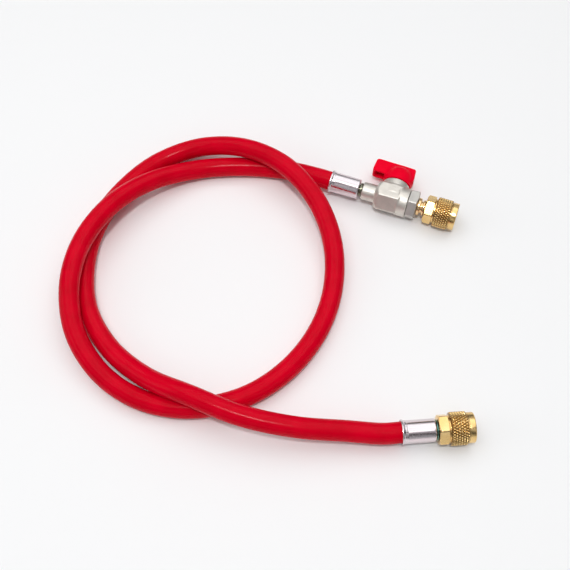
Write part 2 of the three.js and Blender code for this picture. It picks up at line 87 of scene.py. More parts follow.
class Shader:
    """Builds one procedural material node by node."""

    def __init__(self, name: str) -> None:
        """Starts a material with its standard surface shader.

        Args:
            name: Name of the material.
        """
        self.material = bpy.data.materials.new(name)
        self.material.use_nodes = True
        self.tree = self.material.node_tree
        self.surface = self.tree.nodes["Principled BSDF"]
        self.place = self.node("ShaderNodeTexCoord").outputs["Object"]

    def node(self, kind: str, inputs: dict | None = None, **settings: object) -> bpy.types.Node:
        """Adds a node.

        Args:
            kind: Type name of the node.
            inputs: Values or sockets for its inputs, by name or number.
            settings: Attributes to set on the node itself.

        Returns:
            The new node.
        """
        made = self.tree.nodes.new(kind)
        for key, value in settings.items():
            setattr(made, key, value)
        for key, value in (inputs or {}).items():
            if isinstance(value, bpy.types.NodeSocket):
                self.tree.links.new(value, made.inputs[key])
            else:
                made.inputs[key].default_value = value
        return made

    def stretched(self, scale: tuple[float, float, float]) -> bpy.types.NodeSocket:
        """Returns the object's coordinates, multiplied along each axis."""
        return self.node("ShaderNodeMapping", {"Vector": self.place, "Scale": scale}).outputs["Vector"]

    def noise(
        self, scale: float, detail: float = 2.0, place: bpy.types.NodeSocket | None = None
    ) -> bpy.types.NodeSocket:
        """Adds soft noise around 0.5, with a number of grains per metre and octaves of finer noise."""
        inputs = {"Vector": place or self.place, "Scale": scale, "Detail": detail}
        return self.node("ShaderNodeTexNoise", inputs).outputs["Fac"]

    def ramp(
        self, value: bpy.types.NodeSocket, low: float, high: float, start: float, end: float
    ) -> bpy.types.NodeSocket:
        """Maps a value from the range low to high to the range start to end."""
        inputs = {"Value": value, 1: low, 2: high, 3: start, 4: end}
        return self.node("ShaderNodeMapRange", inputs).outputs["Result"]

    def mix(
        self, amount: bpy.types.NodeSocket, first: Colour | bpy.types.NodeSocket, second: Colour
    ) -> bpy.types.NodeSocket:
        """Mixes two colours by an amount from 0 to 1.

        Args:
            amount: Share of the second colour.
            first: Colour at 0, or its socket.
            second: Colour at 1.

        Returns:
            The mixed colour.
        """
        made = self.node("ShaderNodeMix", {0: amount}, data_type="RGBA")
        if isinstance(first, bpy.types.NodeSocket):
            self.tree.links.new(first, made.inputs[6])
        else:
            made.inputs[6].default_value = (*first, 1)
        made.inputs[7].default_value = (*second, 1)
        return made.outputs[2]

    def bump(
        self,
        height: bpy.types.NodeSocket,
        depth: float,
        under: bpy.types.NodeSocket | None = None,
    ) -> bpy.types.NodeSocket:
        """Bends the surface's shading by a height.

        Args:
            height: Height from 0 to 1.
            depth: What a height of 1 stands for, in millimetres.
            under: Shading normal that this bump is added to.

        Returns:
            The bent normal.
        """
        inputs: dict = {"Height": height, "Strength": 1.0, "Distance": depth * MM}
        if under is not None:
            inputs["Normal"] = under
        return self.node("ShaderNodeBump", inputs).outputs["Normal"]

    def dress(self, **inputs: object) -> bpy.types.Material:
        """Sets the surface shader's inputs.

        Args:
            inputs: Values or sockets by the input's name, with underscores for spaces.

        Returns:
            The finished material.
        """
        for key, value in inputs.items():
            socket = self.surface.inputs[key.replace("_", " ")]
            if isinstance(value, bpy.types.NodeSocket):
                self.tree.links.new(value, socket)
            else:
                socket.default_value = (*value, 1) if isinstance(value, tuple) else value
        return self.material


@dataclass(frozen=True)
class Finish:
    """A surface finish that makes its material once."""

    name: str

    def material(self) -> bpy.types.Material:
        """Returns the finish's material, made on first use."""
        return bpy.data.materials.get(self.name) or self.make(Shader(self.name))

    def make(self, shader: Shader) -> bpy.types.Material:
        """Builds the material.

        Args:
            shader: The material's builder.

        Returns:
            The finished material.
        """
        raise NotImplementedError


@dataclass(frozen=True)
class HoseRubber(Finish):
    """Smooth extruded cover: slight cloudiness, fine pores and long soft ripples."""

    light: Colour = (0.66, 0.0, 0.016)
    dark: Colour = (0.57, 0.0, 0.012)
    cloud: float = 90.0
    pores: float = 1500.0
    ripples: float = 160.0

    def make(self, shader: Shader) -> bpy.types.Material:
        """Builds the material from two noises and their bumps."""
        cloud = shader.ramp(shader.noise(self.cloud, 4.0), 0.35, 0.65, 0.0, 1.0)
        pores = shader.noise(self.pores, 3.0)
        ripple = shader.bump(shader.noise(self.ripples, 2.0), 0.12)
        return shader.dress(
            Base_Color=shader.mix(cloud, self.light, self.dark),
            Roughness=shader.ramp(pores, 0.3, 0.7, 0.13, 0.22),
            IOR=1.15,
            Normal=shader.bump(pores, 0.028, ripple),
        )


@dataclass(frozen=True)
class Metal(Finish):
    """Metal with a colour that drifts, fine grain, lines left by the lathe and, if given, painted shade
    in its valleys.
    """

    light: Colour
    dark: Colour
    roughness: tuple[float, float] = (0.14, 0.26)
    drift: float = 180.0
    grain: float = 2400.0
    grain_depth: float = 0.01
    lathe_lines: float = 5200.0
    lathe_depth: float = 0.0
    # Colour of the painted shade in the valleys, or None for no painted shade
    valley_shade_colour: Colour | None = None

    def make(self, shader: Shader) -> bpy.types.Material:
        """Builds the material from drifting colour, grain, lathe lines and painted shade that darkens the
        valleys.
        """
        drift = shader.ramp(shader.noise(self.drift, 3.0), 0.36, 0.64, 0.0, 1.0)
        grain = shader.noise(self.grain, 3.0)
        normal = shader.bump(grain, self.grain_depth)
        if self.lathe_depth > 0:
            lines = shader.noise(1.0, 2.0, shader.stretched((self.lathe_lines, 60.0, 60.0)))
            normal = shader.bump(lines, self.lathe_depth, normal)
        colour = shader.mix(drift, self.light, self.dark)
        # Painted shade: the colour is darkened towards this colour where the mesh marks a valley
        if self.valley_shade_colour:
            depth = shader.node("ShaderNodeAttribute", attribute_name=VALLEY_SHADE_ATTRIBUTE).outputs["Fac"]
            colour = shader.mix(depth, colour, self.valley_shade_colour)
        return shader.dress(
            Base_Color=colour,
            Metallic=1.0,
            Roughness=shader.ramp(grain, 0.3, 0.7, *self.roughness),
            Normal=normal,
        )


@dataclass(frozen=True)
class Streaked(Metal):
    """Plated metal with fine lines drawn along it by the crimping jaws."""

    streaks: float = 2600.0
    streak_depth: float = 0.035

    def make(self, shader: Shader) -> bpy.types.Material:
        """Builds the material from fine grain and streaks along the X axis."""
        streaks = shader.noise(1.0, 2.0, shader.stretched((45.0, self.streaks, self.streaks)))
        grain = shader.noise(self.grain, 3.0)
        normal = shader.bump(grain, self.grain_depth)
        return shader.dress(
            Base_Color=shader.mix(shader.ramp(streaks, 0.36, 0.64, 0.0, 1.0), self.light, self.dark),
            Metallic=1.0,
            Roughness=shader.ramp(grain, 0.3, 0.7, *self.roughness),
            Normal=shader.bump(streaks, self.streak_depth, normal),
        )


@dataclass(frozen=True)
class GlossPlastic(Finish):
    """Moulded plastic: even colour, faint flow marks and a very fine texture."""

    light: Colour
    dark: Colour
    flow: float = 120.0
    texture: float = 3000.0

    def make(self, shader: Shader) -> bpy.types.Material:
        """Builds the material from flow marks and mould texture."""
        flow = shader.ramp(shader.noise(self.flow, 3.0), 0.35, 0.65, 0.0, 1.0)
        texture = shader.noise(self.texture, 2.0)
        return shader.dress(
            Base_Color=shader.mix(flow, self.light, self.dark),
            Roughness=shader.ramp(texture, 0.3, 0.7, 0.3, 0.42),
            IOR=1.1,
            Normal=shader.bump(texture, 0.012),
        )


@dataclass(frozen=True)
class SealRubber(Finish):
    """Matt black rubber with a dusty bloom."""

    light: Colour = (0.035, 0.035, 0.037)
    dark: Colour = (0.012, 0.012, 0.013)

    def make(self, shader: Shader) -> bpy.types.Material:
        """Builds the material from a bloom and fine grain."""
        grain = shader.noise(1900.0, 3.0)
        return shader.dress(
            Base_Color=shader.mix(shader.noise(350.0, 4.0), self.dark, self.light),
            Roughness=shader.ramp(grain, 0.3, 0.7, 0.6, 0.8),
            Normal=shader.bump(grain, 0.03),
        )


@dataclass(frozen=True)
class StudioFloor(Finish):
    """Pale matt sheet on which the part is laid."""

    tone: float = 0.9

    def make(self, shader: Shader) -> bpy.types.Material:
        """Builds the material with a barely uneven tone."""
        pale = (self.tone, self.tone, self.tone)
        paler = (self.tone + 0.015, self.tone + 0.015, self.tone + 0.015)
        return shader.dress(
            Base_Color=shader.mix(shader.noise(3.0, 2.0), pale, paler),
            Roughness=0.7,
            Specular_IOR_Level=0.1,
        )


HOSE_RUBBER = HoseRubber("hose_rubber_red")
FERRULE_CHROME = Streaked(
    "ferrule_chrome_pink",
    light=(0.84, 0.70, 0.73),
    dark=(0.62, 0.60, 0.62),
    roughness=(0.16, 0.28),
    grain_depth=0.004,
)
TAIL_TEAL = Metal(
    "tail_zinc_teal",
    light=(0.26, 0.55, 0.50),
    dark=(0.14, 0.33, 0.33),
    roughness=(0.14, 0.26),
    lathe_depth=0.006,
)
TAIL_OLIVE = Metal(
    "tail_zinc_olive",
    light=(0.34, 0.33, 0.22),
    dark=(0.18, 0.18, 0.13),
    roughness=(0.2, 0.34),
    lathe_depth=0.006,
)
VALVE_NICKEL = Metal(
    "valve_nickel_satin",
    light=(0.74, 0.70, 0.64),
    dark=(0.64, 0.61, 0.56),
    roughness=(0.42, 0.55),
    grain=1500.0,
    grain_depth=0.05,
)
CAP_NICKEL = Metal(
    "cap_nickel_satin",
    light=(0.66, 0.64, 0.60),
    dark=(0.58, 0.56, 0.53),
    roughness=(0.42, 0.55),
    grain_depth=0.03,
    lathe_depth=0.01,
)
BALL_CHROME = Metal("ball_chrome_polished", (0.78, 0.78, 0.79), (0.68, 0.68, 0.70), (0.05, 0.12))
STEM_STEEL = Metal(
    "stem_steel_turned",
    light=(0.34, 0.34, 0.35),
    dark=(0.24, 0.24, 0.25),
    roughness=(0.24, 0.38),
    lathe_depth=0.01,
)
NUT_BRASS = Metal(
    "nut_brass_turned",
    light=(0.88, 0.62, 0.28),
    dark=(0.80, 0.53, 0.21),
    roughness=(0.16, 0.28),
    lathe_depth=0.008,
    # Painted shade in the knurl's valleys
    valley_shade_colour=(0.12, 0.06, 0.02),
)
ADAPTOR_BRASS = Metal(
    "adaptor_brass_turned",
    light=(0.86, 0.60, 0.32),
    dark=(0.72, 0.47, 0.22),
    roughness=(0.16, 0.28),
    lathe_depth=0.012,
)
LEVER_RED = GlossPlastic("lever_plastic_red", (0.86, 0.0, 0.022), (0.80, 0.0, 0.018))
SEAL_BLACK = SealRubber("seal_rubber_black")
FLOOR_PALE = StudioFloor("studio_floor_pale")


# Mesh tools


def soft_least(a: np.ndarray, b: np.ndarray, width: float) -> np.ndarray:
    """Returns the smaller of two values, which melt together where they differ by less than the width."""
    share = np.clip(0.5 + 0.5 * (b - a) / width, 0, 1)
    return b + (a - b) * share - width * share * (1 - share)


def soft_most(a: np.ndarray, b: np.ndarray, width: float) -> np.ndarray:
    """Returns the larger of two values, with a rounded changeover."""
    return -soft_least(-a, -b, width)


def turns(columns: int) -> np.ndarray:
    """Returns evenly spaced angles once around the axis, from +Y towards +Z."""
    return np.arange(columns) * (2 * math.pi / columns)


def ring(x: float | np.ndarray, radius: float | np.ndarray, columns: int) -> np.ndarray:
    """Makes a ring of points about the X axis.

    Args:
        x: Place along the axis, for all points or for each.
        radius: Distance from the axis, for all points or for each.
        columns: Number of points.

    Returns:
        The points, one row each.
    """
    angle = turns(columns)
    radii = np.broadcast_to(radius, columns)
    places = np.broadcast_to(x, columns)
    return np.stack([places, radii * np.cos(angle), radii * np.sin(angle)], axis=1)


def regular(across_flats: float, sides: int, corner: float, rounding: float = 0.12) -> Outline:
    """Describes a regular outline with slightly broken corners.

    Args:
        across_flats: Distance between opposite sides.
        sides: Number of sides.
        corner: Degrees from +Y to the first corner.
        rounding: How far the broken corners stand back.

    Returns:
        A function from angles to the outline's radius.
    """
    half = math.pi / sides

    def radius(angle: np.ndarray) -> np.ndarray:
        """Returns the outline's radius at each angle."""
        from_flat = np.mod(angle - math.radians(corner), 2 * half) - half
        flats = across_flats / 2 / np.cos(from_flat)
        return soft_least(flats, np.float64(across_flats / 2 / math.cos(half) - rounding), rounding)

    return radius


def rounded(corners: Sequence[tuple[float, float, float]], steps: int = 4) -> list[tuple[float, float]]:
    """Rounds the corners of a closed profile.

    Args:
        corners: Place along the axis, radius and rounding of each corner.
        steps: Segments of each rounding.

    Returns:
        The profile's points, as place and radius.
    """
    points = []
    count = len(corners)
    for i, (x, radius, rounding) in enumerate(corners):
        here = Vector((x, radius))
        if rounding <= 0:
            points.append((x, radius))
            continue
        ends = []
        for other in (corners[i - 1], corners[(i + 1) % count]):
            span = Vector(other[:2]) - here
            ends.append(here + span.normalized() * min(rounding, 0.49 * span.length))
        for step in range(steps + 1):
            t = step / steps
            at = ends[0] * (1 - t) ** 2 + here * (2 * t * (1 - t)) + ends[1] * t**2
            points.append((at.x, at.y))
    return points


def divided(points: Sequence[tuple[float, float]], gap: float) -> list[tuple[float, float]]:
    """Adds points to a profile's long spans.

    Args:
        points: The closed profile.
        gap: Longest span that stays.

    Returns:
        The profile with its long spans divided.
    """
    dense = []
    for i, point in enumerate(points):
        after = points[(i + 1) % len(points)]
        pieces = max(1, math.ceil(math.dist(point, after) / gap))
        for step in range(pieces):
            t = step / pieces
            dense.append((point[0] + (after[0] - point[0]) * t, point[1] + (after[1] - point[1]) * t))
    return dense


def skin(rings: Sequence[np.ndarray], closed: bool = True) -> tuple[np.ndarray, list[list[int]]]:
    """Joins rings into a skin. Neighbouring rings have as many points, or a whole number of times more.

    Args:
        rings: The rings in order: back to front on the outside, then front to back inside.
        closed: Whether the last ring joins the first; otherwise both are capped.

    Returns:
        The points and the faces.
    """
    starts = np.cumsum([0] + [len(one) for one in rings])
    faces: list[list[int]] = []
    for i in range(len(rings) if closed else len(rings) - 1):
        j = (i + 1) % len(rings)
        few = min(len(rings[i]), len(rings[j]))
        more_i, more_j = len(rings[i]) // few, len(rings[j]) // few
        for column in range(few):
            near = [starts[i] + (column * more_i + k) % len(rings[i]) for k in range(more_i + 1)]
            far = [starts[j] + (column * more_j + k) % len(rings[j]) for k in range(more_j + 1)]
            faces.append([int(index) for index in near + far[::-1]])
    if not closed:
        faces.append([int(index) for index in range(len(rings[0]))][::-1])
        faces.append([int(starts[-2] + index) for index in range(len(rings[-1]))])
    return np.concatenate(rings), faces


def mesh_object(
    name: str, points: np.ndarray, faces: Sequence[Sequence[int]], sharp: float | None = 40.0
) -> bpy.types.Object:
    """Makes a smooth-shaded mesh object from points in millimetres.

    Args:
        name: Name of the piece.
        points: The points.
        faces: Indices of each face's points.
        sharp: Degrees between faces above which an edge shades sharp, or None for never.

    Returns:
        The object, linked to the scene.
    """
    mesh = bpy.data.meshes.new(name)
    mesh.from_pydata((points * MM).tolist(), [], faces)
    mesh.validate()
    mesh.shade_smooth()
    if sharp is not None:
        mesh.set_sharp_from_angle(angle=math.radians(sharp))
    made = bpy.data.objects.new(name, mesh)
    bpy.context.scene.collection.objects.link(made)
    return made


def turned(
    name: str,
    profile: Sequence[tuple[float, float]],
    columns: int = 96,
    outline: Outline | None = None,
    softness: float = 0.1,
) -> bpy.types.Object:
    """Turns a closed profile about the X axis, and holds it within an outline.

    Args:
        name: Name of the piece.
        profile: Place and radius of each point: outwards, forwards, inwards and back.
        columns: Points around the axis.
        outline: The outline's radius by angle, or None for a round piece.
        softness: Width of the rounded edge between the turning and the outline.

    Returns:
        The piece.
    """
    limit = outline(turns(columns)) if outline else None
    rings = []
    for x, radius in profile:
        radii = radius if limit is None else soft_least(np.full(columns, radius), limit, softness)
        rings.append(ring(x, radii, columns))
    return mesh_object(name, *skin(rings))


class Block:
    """A block of space in which solids are described by their distance: below zero is inside."""

    def __init__(self, low: Sequence[float], high: Sequence[float], step: float) -> None:
        """Lays out the block's grid of points.

        Args:
            low: Lowest corner.
            high: Highest corner.
            step: Distance between neighbouring points.
        """
        self.low = np.array(low, float)
        self.step = step
        spans = [np.arange(a, b + step, step) for a, b in zip(low, high)]
        self.x, self.y, self.z = np.meshgrid(*spans, indexing="ij", sparse=True)

    def rod(self, start: float, end: float, radius: float, rounding: float = 0.3) -> np.ndarray:
        """Returns the distance at each point from a round rod along the X axis."""
        ends = np.abs(self.x - (start + end) / 2) - (end - start) / 2
        return soft_most(np.hypot(self.y, self.z) - radius, ends, rounding)

    def post(
        self, x: float, start: float, end: float, radius: float, rounding: float = 0.3
    ) -> np.ndarray:
        """Returns the distance at each point from a round post along +Y that stands at x."""
        ends = np.abs(self.y - (start + end) / 2) - (end - start) / 2
        return soft_most(np.hypot(self.x - x, self.z) - radius, ends, rounding)

    def box(self, low: Sequence[float], high: Sequence[float], rounding: float = 0.3) -> np.ndarray:
        """Describes a box.

        Args:
            low: Lowest corner.
            high: Highest corner.
            rounding: Radius of its edges.

        Returns:
            The distance at each point.
        """
        sides = [
            np.abs(axis - (a + b) / 2) - (b - a) / 2 + rounding
            for axis, a, b in zip((self.x, self.y, self.z), low, high)
        ]
        outside = np.sqrt(sum(np.maximum(side, 0) ** 2 for side in sides))
        inside = np.minimum(np.maximum(np.maximum(sides[0], sides[1]), sides[2]), 0)
        return outside + inside - rounding

    def flats(self, across: float, sides: int, corner: float, rounding: float = 0.3) -> np.ndarray:
        """Describes an endless prism along the X axis.

        Args:
            across: Distance between opposite sides.
            sides: Number of sides, an even one.
            corner: Degrees from +Y to the first corner.
            rounding: Rounding of its long edges.

        Returns:
            The distance at each point.
        """
        distance = None
        for i in range(sides // 2):
            angle = math.radians(corner + 180 / sides * (2 * i + 1))
            side = np.abs(self.y * math.cos(angle) + self.z * math.sin(angle)) - across / 2
            distance = side if distance is None else soft_most(distance, side, rounding)
        return distance

    def mesh(self, name: str, distance: np.ndarray) -> bpy.types.Object:
        """Makes a mesh of a solid's surface, with one point in each cell that the surface crosses.

        Args:
            name: Name of the piece.
            distance: The solid's distance at each point.

        Returns:
            The piece.
        """
        inside = distance < 0
        cells = tuple(size - 1 for size in distance.shape)

        def corner(values: np.ndarray, offset: Sequence[int]) -> np.ndarray:
            """Returns the values at one corner of every cell."""
            return values[tuple(slice(o, o + c) for o, c in zip(offset, cells))]

        corners = [(i, j, k) for i in (0, 1) for j in (0, 1) for k in (0, 1)]
        filled = sum(corner(inside, offset).astype(np.int8) for offset in corners)
        crossed = (filled > 0) & (filled < 8)
        where = np.argwhere(crossed)
        number = np.full(cells, -1)
        number[crossed] = np.arange(len(where))
        total = np.zeros((len(where), 3))
        count = np.zeros(len(where))
        for axis in range(3):
            for offset in (o for o in corners if o[axis] == 0):
                onward = list(offset)
                onward[axis] = 1
                first = corner(distance, offset)[crossed]
                second = corner(distance, onward)[crossed]
                cut = (first < 0) != (second < 0)
                at = np.tile(np.array(offset, float), (len(where), 1))
                at[:, axis] = first / np.where(cut, first - second, 1)
                total += at * cut[:, None]
                count += cut
        points = self.low + self.step * (where + total / count[:, None])
        faces = []
        for axis in range(3):
            before = [slice(1, -1)] * 3
            after = [slice(1, -1)] * 3
            before[axis] = slice(0, -1)
            after[axis] = slice(1, None)
            here, there = inside[tuple(before)], inside[tuple(after)]
            across, along = [a for a in range(3) if a != axis]
            for enters in (False, True):
                edge = np.argwhere((here != there) & (here == enters))
                edge[:, [across, along]] += 1
                quad = []
                for step_a, step_b in ((0, 0), (1, 0), (1, 1), (0, 1)):
                    cell = edge.copy()
                    cell[:, across] -= step_a
                    cell[:, along] -= step_b
                    quad.append(number[tuple(cell.T)])
                square = np.stack(quad, axis=1)
                turned_out = enters == (axis != 1)
                faces.append(square if turned_out else square[:, ::-1])
        return mesh_object(name, points, np.concatenate(faces).tolist(), None)


# Placing


@dataclass(frozen=True)
class Place:
    """Where a fitting lies: its ferrule's mouth and the heading of its axis."""

    mouth: tuple[float, float, float]
    heading: float

    def matrix(self) -> Matrix:
        """Returns the fitting's place in metres."""
        turn = Matrix.Rotation(math.radians(self.heading), 4, "Z")
        return Matrix.Translation(Vector(self.mouth) * MM) @ turn

    def along(self, distance: float) -> np.ndarray:
        """Returns a point on the fitting's axis, at a distance forward of the mouth."""
        angle = math.radians(self.heading)
        return np.array(self.mouth) + distance * np.array([math.cos(angle), math.sin(angle), 0.0])


LAYOUT_SHIFT = (-62.1, 8.7)
AXIS_HEIGHT = 8.45
FERRULE_LENGTH = 17.3
VALVE_PLACE = Place((26.7 + LAYOUT_SHIFT[0], 63.8 + LAYOUT_SHIFT[1], AXIS_HEIGHT), -19.4)
END_PLACE = Place((58.1 + LAYOUT_SHIFT[0], -88.2 + LAYOUT_SHIFT[1], AXIS_HEIGHT), 4.2)


def stand_for(
    piece: bpy.types.Object, node: str, body: Body, finish: Finish, place: Place | None
) -> bpy.types.Object:
    """Lays a piece in the frame, gives it its finish and puts it in place of a CAD node.

    Args:
        piece: The piece.
        node: The CAD node that it replaces.
        body: The body that it rides on.
        finish: Its finish.
        place: The fitting's place, or None where the piece is in the frame already.

    Returns:
        The piece.
    """
    piece.data.materials.append(finish.material())
    if place is not None:
        piece.matrix_world = place.matrix()
    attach(piece, body.value)
    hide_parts(node)
    log.info("%s: %d faces, on %s", piece.name, len(piece.data.polygons), body.value)
    return piece


def keep_node(node: str, finish: Finish) -> None:
    """Gives a CAD node that stays its finish.

    Args:
        node: The node.
        finish: Its finish.
    """
    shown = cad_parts[node]
    for holder in shown.material_slots:
        holder.material = finish.material()
    log.info("%s: kept from the packed model", node)


# Camera, lights and floor


LAMPS_FACE_X = -0.06


@dataclass(frozen=True)
class Lamp:
    """A round lamp that faces the part: its place and width in metres and its power in watts."""

    name: str
    place: tuple[float, float, float]
    width: float
    power: float

    def build(self) -> None:
        """Builds the lamp."""
        data = bpy.data.lights.new(self.name, "AREA")
        data.shape = "DISK"
        data.size = self.width
        data.energy = self.power
        lamp = bpy.data.objects.new(self.name, data)
        bpy.context.scene.collection.objects.link(lamp)
        lamp.location = self.place
        towards = Vector((LAMPS_FACE_X, 0, 0)) - Vector(self.place)
        lamp.rotation_euler = towards.to_track_quat("-Z", "Y").to_euler()


@dataclass
class Studio:
    """Camera at the photograph's angle, soft lights and a pale floor."""

    pitch: float = 62.0
    distance: float = 500.0
    focal_pixels: float = 900.0
    frame_pixels: float = 570.0
    sensor: float = 36.0
    floor_size: float = 6.0
    surround: Colour = (0.95, 0.96, 0.98)
    surround_dark: Colour = (0.05, 0.05, 0.055)
    surround_strength: float = 0.62
    surround_bands: float = 0.55
    surround_bend: float = 1.5
    lamps: tuple[Lamp, ...] = (
        Lamp("overhead_softbox", (-0.1, 0.3, 1.3), 2.0, 12.0),
        Lamp("key_lamp", (-0.1, -0.34, 1.25), 0.12, 4.6),
        Lamp("left_panel", (-1.2, -0.1, 0.6), 0.8, 1.5),
    )

    def build(self) -> None:
        """Builds the camera, the floor and the lights."""
        self.build_camera()
        self.build_floor()
        self.build_surround()
        for lamp in self.lamps:
            lamp.build()
        scene = bpy.context.scene
        scene.view_settings.view_transform = "Standard"
        scene.view_settings.look = "None"

    def build_camera(self) -> None:
        """Builds the camera, which looks at the middle of the hose's loop."""
        data = bpy.data.cameras.new("camera")
        data.sensor_width = self.sensor
        data.lens = self.focal_pixels / self.frame_pixels * self.sensor
        data.clip_start = 0.01
        camera = bpy.data.objects.new("camera", data)
        bpy.context.scene.collection.objects.link(camera)
        down = math.radians(self.pitch)
        back = Vector((0, -math.cos(down), math.sin(down))) * self.distance * MM
        camera.location = Vector((*LAYOUT_SHIFT, 0)) * MM + back
        camera.rotation_euler = (math.pi / 2 - down, 0, 0)
        bpy.context.scene.camera = camera

    def build_floor(self) -> None:
        """Builds the floor."""
        half = self.floor_size / 2 / MM
        corners = [(-half, -half, 0.0), (half, -half, 0.0), (half, half, 0.0), (-half, half, 0.0)]
        floor = mesh_object("studio_floor", np.array(corners), [(0, 1, 2, 3)])
        floor.data.materials.append(FLOOR_PALE.material())

    def build_surround(self) -> None:
        """Builds the surround, whose soft bands of light and dark show in the metals."""
        world = bpy.data.worlds.new("studio_surround")
        world.use_nodes = True
        tree = world.node_tree
        background = tree.nodes["Background"]
        background.inputs["Strength"].default_value = self.surround_strength
        towards = tree.nodes.new("ShaderNodeTexCoord").outputs["Generated"]
        panels = tree.nodes.new("ShaderNodeTexWave")
        panels.bands_direction = "DIAGONAL"
        panels.inputs["Scale"].default_value = self.surround_bands
        panels.inputs["Distortion"].default_value = self.surround_bend
        tree.links.new(towards, panels.inputs["Vector"])
        tones = tree.nodes.new("ShaderNodeMix")
        tones.data_type = "RGBA"
        tones.inputs[6].default_value = (*self.surround_dark, 1)
        tones.inputs[7].default_value = (*self.surround, 1)
        tree.links.new(panels.outputs["Fac"], tones.inputs[0])
        tree.links.new(tones.outputs[2], background.inputs["Color"])
        bpy.context.scene.world = world


# Hose


HOSE_LOW = 5.75

# Where the hose lies, from the middle of its loop: from the valve to the plain end
HOSE_ROUTE = (
    (0.6, 73.2, 6.1),
    (-27, 75.9, 5.85),
    (-54.1, 72.6, 6.8),
    (-78.4, 60, 13),
    (-97.7, 41.4, 17.2),
    (-111.2, 18, 17.2),
    (-115.2, -8.9, 17),
    (-110.4, -34.8, 11.6),
    (-95.3, -56.2, 6.8),
    (-73.2, -70.1, HOSE_LOW),
    (-47.2, -74.3, HOSE_LOW),
    (-20.6, -68.1, HOSE_LOW),
    (1, -53.3, HOSE_LOW),
    (17.4, -31.4, HOSE_LOW),
    (26.2, -5.5, 6.4),
    (26.5, 21.6, 9.9),
    (17.6, 47, 14.5),
    (0.2, 68.4, 17.2),
    (-23.5, 82.4, 15.4),
    (-50, 87, 9.7),
    (-75, 78.4, 6.2),
    (-93.7, 59.7, HOSE_LOW),
    (-106.4, 36.4, HOSE_LOW),
    (-110.8, 9.7, HOSE_LOW),
    (-106.7, -17.7, HOSE_LOW),
    (-92.6, -41.1, 6.6),
    (-71.8, -59.2, 10.6),
    (-47.8, -71.8, 17),
    (-22.2, -81.8, 15.6),
    (4.6, -87, 13.4),
    (31.9, -88.1, 10.1),
)


@dataclass
class Hose:
    """The rubber hose, from inside the valve's ferrule to inside the end ferrule."""

    diameter: float = 11.0
    insertion: float = 1.0
    lead: float = 9.0
    ring_gap: float = 1.5
    columns: int = 40

    def centreline(self) -> np.ndarray:
        """Follows the route on one smooth curve, whose speed suits the gaps between its points."""
        shift = np.array([*LAYOUT_SHIFT, 0.0])
        knots = np.array(
            [VALVE_PLACE.along(self.insertion), VALVE_PLACE.along(-self.lead)]
            + [np.array(point) + shift for point in HOSE_ROUTE]
            + [END_PLACE.along(-self.lead), END_PLACE.along(self.insertion)]
        )
        knots = np.concatenate([[2 * knots[0] - knots[1]], knots, [2 * knots[-1] - knots[-2]]])
        dense = []
        t = np.linspace(0, 1, 40, endpoint=False)[:, None]
        for before, start, end, after in zip(knots, knots[1:], knots[2:], knots[3:]):
            spans = (start - before, end - start, after - end)
            gap_before, gap, gap_after = (math.sqrt(float(np.linalg.norm(span))) for span in spans)
            leave = spans[0] / gap_before - (end - before) / (gap_before + gap) + spans[1] / gap
            arrive = spans[1] / gap - (after - start) / (gap + gap_after) + spans[2] / gap_after
            leave, arrive = leave * gap, arrive * gap
            cube = 2 * (start - end) + leave + arrive
            square = 3 * (end - start) - 2 * leave - arrive
            dense.append(start + t * (leave + t * (square + t * cube)))
        line = np.concatenate([*dense, [knots[-2]]])
        run = np.concatenate([[0], np.cumsum(np.linalg.norm(np.diff(line, axis=0), axis=1))])
        even = np.linspace(0, run[-1], round(run[-1] / self.ring_gap) + 1)
        return np.stack([np.interp(even, run, line[:, axis]) for axis in range(3)], axis=1)

    def build(self) -> tuple[bpy.types.Object, np.ndarray]:
        """Builds the hose's tube."""
        line = self.centreline()
        heading = np.gradient(line, axis=0)
        heading /= np.linalg.norm(heading, axis=1, keepdims=True)
        side = np.cross(heading[0], (0.0, 0.0, 1.0))
        angle = turns(self.columns)
        rings = []
        for point, ahead in zip(line, heading):
            side = side - ahead * float(side @ ahead)
            side /= np.linalg.norm(side)
            up = np.cross(side, ahead)
            outwards = np.outer(np.cos(angle), side) - np.outer(np.sin(angle), up)
            rings.append(point + outwards * self.diameter / 2)
        tube = mesh_object("hose_tube", *skin(rings, closed=False))
        stand_for(tube, "hose", Body.MAIN, HOSE_RUBBER, None)
        return tube, line


# Pieces shared by both fittings


@dataclass
class Ferrule:
    """Sleeve crimped onto the hose, with a flared lip at its mouth and long pressed flats."""

    name: str
    node: str
    place: Place
    length: float = FERRULE_LENGTH
    diameter: float = 12.0
    across_flats: float = 11.6
    edge: float = 0.35
    fade: float = 1.2
    flats: int = 8
    lip: float = 13.0
    lip_length: float = 0.7
    taper: float = 0.8
    shoulder: float = 1.2
    mouth: float = 11.6
    bore: float = 5.8
    bore_wall: float = 0.5
    stop: float = 1.3
    columns: int = 192

    def build(self) -> bpy.types.Object:
        """Builds the sleeve."""
        radius = self.diameter / 2
        profile = divided(
            rounded(
                [
                    (self.stop, self.bore / 2, 0.1),
                    (self.stop, self.mouth / 2, 0.2),
                    (0, self.mouth / 2, 0.2),
                    (0, self.lip / 2, 0.25),
                    (self.lip_length, self.lip / 2, 0.3),
                    (self.lip_length + self.taper, radius, 0.5),
                    (self.length, radius, self.shoulder),
                    (self.length, self.bore / 2, 0.1),
                ],
                6,
            ),
            0.4,
        )
        outline = regular(self.across_flats, self.flats, 180 / self.flats, self.edge)
        flats = outline(turns(self.columns))
        start = self.lip_length + self.taper
        rings = []
        for x, at in profile:
            outside = at > self.bore / 2 + self.bore_wall
            pressed = np.clip((x - start) / self.fade, 0, 1) * outside
            limit = flats + (1 - pressed) * self.fade
            radii = soft_least(np.full(self.columns, at), limit, self.edge)
            rings.append(ring(x, radii, self.columns))
        sleeve = mesh_object(self.name, *skin(rings))
        return stand_for(sleeve, self.node, Body.MAIN, FERRULE_CHROME, self.place)


